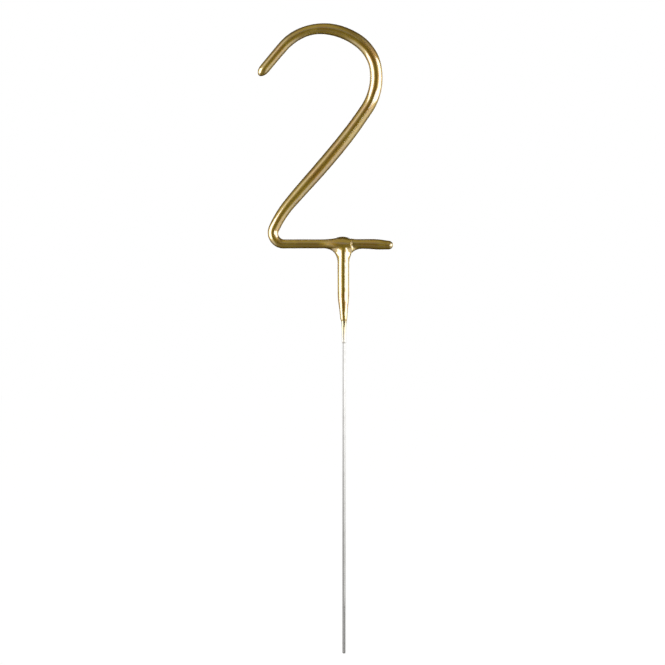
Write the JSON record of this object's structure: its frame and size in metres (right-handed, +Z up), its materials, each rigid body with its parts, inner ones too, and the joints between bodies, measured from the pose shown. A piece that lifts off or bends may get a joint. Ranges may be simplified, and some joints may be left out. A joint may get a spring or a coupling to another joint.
{
  "type": "cake sparkler",
  "caption": "Cake sparkler shaped as the numeral two: bent wire figure dipped in a gold-lacquered spark mix, welded to a bare steel stem that is held by hand or pushed into a cake.",
  "frame": {"origin": "centre of the stem wire's lower tip", "axes": "+Z up along the stem, +X to the reader's right, -Y towards the reader"},
  "size_m": [0.0387, 0.0047, 0.1803],
  "materials": {
    "bare_wire": "drawn steel wire",
    "weld": "pressed weld metal",
    "gold_coat": "glossy olive-gold metallic lacquer over spark mix",
    "gold_lacquer": "thin gold lacquer"
  },
  "bodies": {
    "root": {"stem_wire": "bare_wire", "figure_wire": "bare_wire", "spot_weld": "weld", "spark_coat": "gold_coat", "lacquer_run": "gold_lacquer"}
  },
  "joints": []
}
